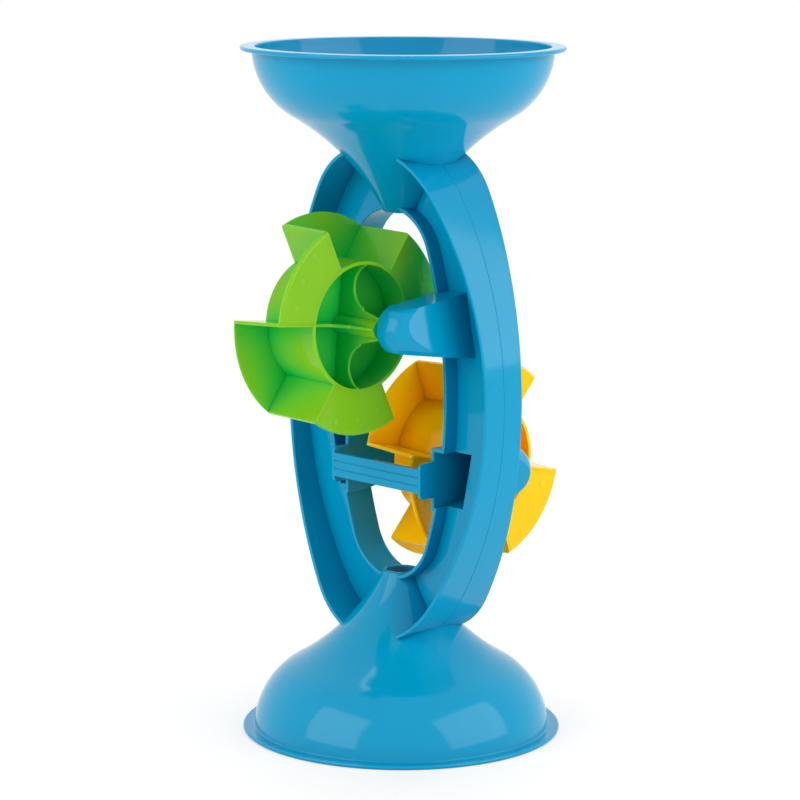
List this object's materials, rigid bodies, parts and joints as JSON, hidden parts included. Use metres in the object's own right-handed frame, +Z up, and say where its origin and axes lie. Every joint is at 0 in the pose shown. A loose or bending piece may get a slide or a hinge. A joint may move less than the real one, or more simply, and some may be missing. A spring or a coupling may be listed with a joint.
{
  "type": "sand wheel toy",
  "caption": "Beach sand and water mill: a funnel-shaped hopper and a matching base on an oval frame, with free-turning bucket wheels on both sides of it.",
  "frame": {"origin": "on the floor under the middle of the stand", "axes": "+Z up along the funnels' axis, X in the oval frame's plane along both axles, the upper wheel on the -Y side"},
  "size_m": [0.177, 0.2124, 0.38],
  "materials": {
    "blue_plastic": "gloss",
    "green_plastic": "gloss",
    "yellow_plastic": "gloss"
  },
  "bodies": {
    "stand": {"hopper": "blue_plastic", "base": "blue_plastic", "left_outer_band": "blue_plastic", "right_outer_band": "blue_plastic", "left_web": "blue_plastic", "right_web": "blue_plastic", "left_window_rim": "blue_plastic", "right_window_rim": "blue_plastic", "upper_left_arm": "blue_plastic", "upper_right_arm": "blue_plastic", "lower_left_arm": "blue_plastic", "lower_right_arm": "blue_plastic", "upper_crossbar": "blue_plastic", "lower_crossbar": "blue_plastic", "upper_axle": "blue_plastic", "lower_axle": "blue_plastic"},
    "upper_wheel": {"upper_wheel_drum": "green_plastic", "upper_wheel_hub": "green_plastic", "upper_wheel_disc": "green_plastic", "upper_wheel_ribs": "green_plastic", "upper_wheel_paddles": "green_plastic", "upper_wheel_left_walls": "green_plastic", "upper_wheel_right_walls": "green_plastic"},
    "lower_wheel": {"lower_wheel_drum": "yellow_plastic", "lower_wheel_hub": "yellow_plastic", "lower_wheel_disc": "yellow_plastic", "lower_wheel_ribs": "yellow_plastic", "lower_wheel_paddles": "yellow_plastic", "lower_wheel_left_walls": "yellow_plastic", "lower_wheel_right_walls": "yellow_plastic"}
  },
  "joints": [
    {"name": "upper_wheel_spin", "type": "hinge", "parent": "stand", "child": "upper_wheel", "pos_m": [0, -0.0475, 0.233], "axis": [1, 0, 0], "continuous": true},
    {"name": "lower_wheel_spin", "type": "hinge", "parent": "stand", "child": "lower_wheel", "pos_m": [0, 0.0475, 0.147], "axis": [1, 0, 0], "continuous": true}
  ]
}
